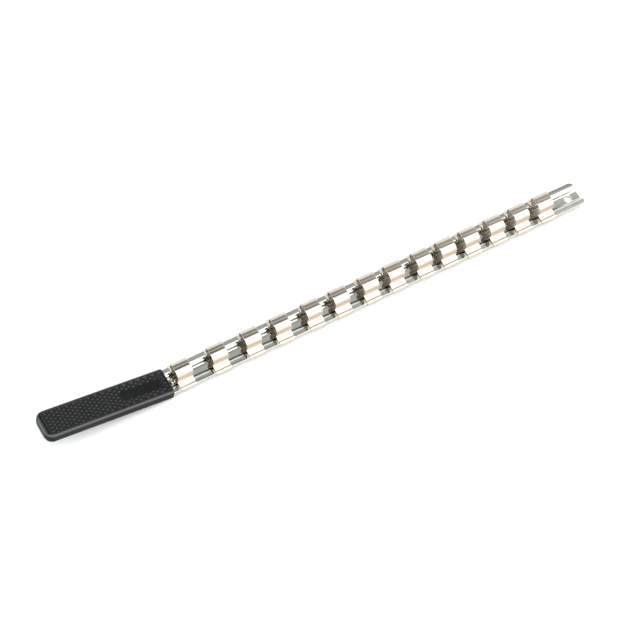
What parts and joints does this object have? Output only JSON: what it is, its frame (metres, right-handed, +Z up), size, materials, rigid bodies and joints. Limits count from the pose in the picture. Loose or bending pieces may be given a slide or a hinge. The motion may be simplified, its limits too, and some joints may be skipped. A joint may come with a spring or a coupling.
{
  "type": "socket rail",
  "caption": "Channel rail with a moulded handle, a hanging hole and sliding spring clips, each of which holds one square drive socket.",
  "frame": {"origin": "under the middle of the whole object's length and width, at the height of its lowest point, the underside of the handle's mouth", "axes": "+X along the rail from the handle to the end with the hanging hole; +Z up, on the side the clips stand on; +Y across the rail"},
  "size_m": [0.437, 0.024, 0.0226],
  "materials": {
    "zinc_steel": "rolled steel strip with bright zinc plating",
    "rivet_steel": "headed steel rivet, zinc plated",
    "nickel_spring": "spring steel strip with bright nickel plating",
    "black_moulding": "moulded black plastic, diamond knurl on top and satin sides"
  },
  "bodies": {
    "rail_and_handle": {"rail": "zinc_steel", "mouth_rivet": "rivet_steel", "handle_grip": "black_moulding"},
    "clip_01": {"clip_01": "nickel_spring"},
    "clip_02": {"clip_02": "nickel_spring"},
    "clip_03": {"clip_03": "nickel_spring"},
    "clip_04": {"clip_04": "nickel_spring"},
    "clip_05": {"clip_05": "nickel_spring"},
    "clip_06": {"clip_06": "nickel_spring"},
    "clip_07": {"clip_07": "nickel_spring"},
    "clip_08": {"clip_08": "nickel_spring"},
    "clip_09": {"clip_09": "nickel_spring"},
    "clip_10": {"clip_10": "nickel_spring"},
    "clip_11": {"clip_11": "nickel_spring"},
    "clip_12": {"clip_12": "nickel_spring"},
    "clip_13": {"clip_13": "nickel_spring"},
    "clip_14": {"clip_14": "nickel_spring"}
  },
  "joints": [
    {"name": "clip_01_slide", "type": "slide", "parent": "rail_and_handle", "child": "clip_01", "axis": [1, 0, 0], "range_m": [-0.0049, 0.0078]},
    {"name": "clip_02_slide", "type": "slide", "parent": "rail_and_handle", "child": "clip_02", "axis": [1, 0, 0], "range_m": [-0.0078, 0.0072]},
    {"name": "clip_03_slide", "type": "slide", "parent": "rail_and_handle", "child": "clip_03", "axis": [1, 0, 0], "range_m": [-0.0072, 0.0057]},
    {"name": "clip_04_slide", "type": "slide", "parent": "rail_and_handle", "child": "clip_04", "axis": [1, 0, 0], "range_m": [-0.0057, 0.0064]},
    {"name": "clip_05_slide", "type": "slide", "parent": "rail_and_handle", "child": "clip_05", "axis": [1, 0, 0], "range_m": [-0.0064, 0.0051]},
    {"name": "clip_06_slide", "type": "slide", "parent": "rail_and_handle", "child": "clip_06", "axis": [1, 0, 0], "range_m": [-0.0051, 0.0057]},
    {"name": "clip_07_slide", "type": "slide", "parent": "rail_and_handle", "child": "clip_07", "axis": [1, 0, 0], "range_m": [-0.0057, 0.0045]},
    {"name": "clip_08_slide", "type": "slide", "parent": "rail_and_handle", "child": "clip_08", "axis": [1, 0, 0], "range_m": [-0.0045, 0.0054]},
    {"name": "clip_09_slide", "type": "slide", "parent": "rail_and_handle", "child": "clip_09", "axis": [1, 0, 0], "range_m": [-0.0054, 0.0039]},
    {"name": "clip_10_slide", "type": "slide", "parent": "rail_and_handle", "child": "clip_10", "axis": [1, 0, 0], "range_m": [-0.0039, 0.0037]},
    {"name": "clip_11_slide", "type": "slide", "parent": "rail_and_handle", "child": "clip_11", "axis": [1, 0, 0], "range_m": [-0.0037, 0.0046]},
    {"name": "clip_12_slide", "type": "slide", "parent": "rail_and_handle", "child": "clip_12", "axis": [1, 0, 0], "range_m": [-0.0046, 0.0044]},
    {"name": "clip_13_slide", "type": "slide", "parent": "rail_and_handle", "child": "clip_13", "axis": [1, 0, 0], "range_m": [-0.0044, 0.0041]},
    {"name": "clip_14_slide", "type": "slide", "parent": "rail_and_handle", "child": "clip_14", "axis": [1, 0, 0], "range_m": [-0.0041, 0.0234]}
  ]
}
